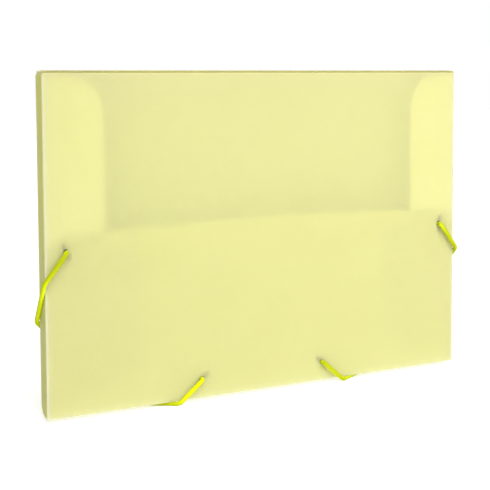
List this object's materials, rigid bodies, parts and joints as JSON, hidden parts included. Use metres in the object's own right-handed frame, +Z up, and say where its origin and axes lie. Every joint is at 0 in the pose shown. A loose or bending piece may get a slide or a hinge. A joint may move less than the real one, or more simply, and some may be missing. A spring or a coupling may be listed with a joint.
{
  "type": "box file",
  "caption": "Shallow box file folded from one translucent creased plastic sheet, with a hinged cover, inner flaps and round elastics stretched over its lower corners.",
  "frame": {"origin": "midway along the box and across its depth, at the height of the surface that it stands on", "axes": "+X along the long edges, to the right of someone facing the cover; +Y from the cover to the back panel; +Z up, towards the spine"},
  "size_m": [0.3566, 0.0224, 0.2433],
  "materials": {
    "sheet": "frosted translucent polypropylene, fine sand grain",
    "elastic": "neon yellow braided cover",
    "tip": "dull grey metal"
  },
  "bodies": {
    "tray": {"back_panel": "sheet", "left_wall": "sheet", "right_wall": "sheet", "bottom_wall": "sheet"},
    "spine": {"spine": "sheet"},
    "cover": {"front_cover": "sheet", "left_upper_tip": "tip", "left_lower_tip": "tip", "right_upper_tip": "tip", "right_lower_tip": "tip"},
    "bottom_flap": {"bottom_flap": "sheet"},
    "left_flap": {"left_flap": "sheet"},
    "right_flap": {"right_flap": "sheet"},
    "left_elastic": {"left_elastic": "elastic", "left_elastic_foot": "elastic"},
    "right_elastic": {"right_elastic": "elastic", "right_elastic_foot": "elastic"}
  },
  "joints": [
    {"name": "spine_hinge", "type": "hinge", "parent": "tray", "child": "spine", "pos_m": [0, 0.00725, 0.24305], "axis": [-1, 0, 0], "range_deg": [0, 90]},
    {"name": "cover_hinge", "type": "hinge", "parent": "spine", "child": "cover", "pos_m": [0, -0.00725, 0.24305], "axis": [-1, 0, 0], "range_deg": [0, 180]},
    {"name": "bottom_flap_hinge", "type": "hinge", "parent": "tray", "child": "bottom_flap", "pos_m": [0, -0.0054, 0.00355], "axis": [1, 0, 0], "range_deg": [0, 150]},
    {"name": "left_flap_hinge", "type": "hinge", "parent": "tray", "child": "left_flap", "pos_m": [-0.17475, -0.00475, 0.12], "axis": [0, 0, -1], "range_deg": [0, 50]},
    {"name": "right_flap_hinge", "type": "hinge", "parent": "tray", "child": "right_flap", "pos_m": [0.17475, -0.00475, 0.12], "axis": [0, 0, 1], "range_deg": [0, 50]},
    {"name": "left_elastic_release", "type": "hinge", "parent": "cover", "child": "left_elastic", "pos_m": [-0.1085, -0.0075, 0.0683], "axis": [-0.7105, 0, 0.7036], "range_deg": [0, 180], "deforming": ["left_elastic", "left_elastic_foot"]},
    {"name": "right_elastic_release", "type": "hinge", "parent": "cover", "child": "right_elastic", "pos_m": [0.104, -0.0075, 0.0683], "axis": [-0.7423, 0, -0.6701], "range_deg": [0, 180], "deforming": ["right_elastic", "right_elastic_foot"]}
  ],
  "couplings": [
    {"joint": "bottom_flap_hinge", "follows": "cover_hinge", "ratio": 0.8},
    {"joint": "left_flap_hinge", "follows": "cover_hinge", "ratio": 0.25},
    {"joint": "right_flap_hinge", "follows": "cover_hinge", "ratio": 0.25},
    {"joint": "left_elastic_release", "follows": "cover_hinge", "ratio": 1},
    {"joint": "right_elastic_release", "follows": "cover_hinge", "ratio": 1}
  ]
}
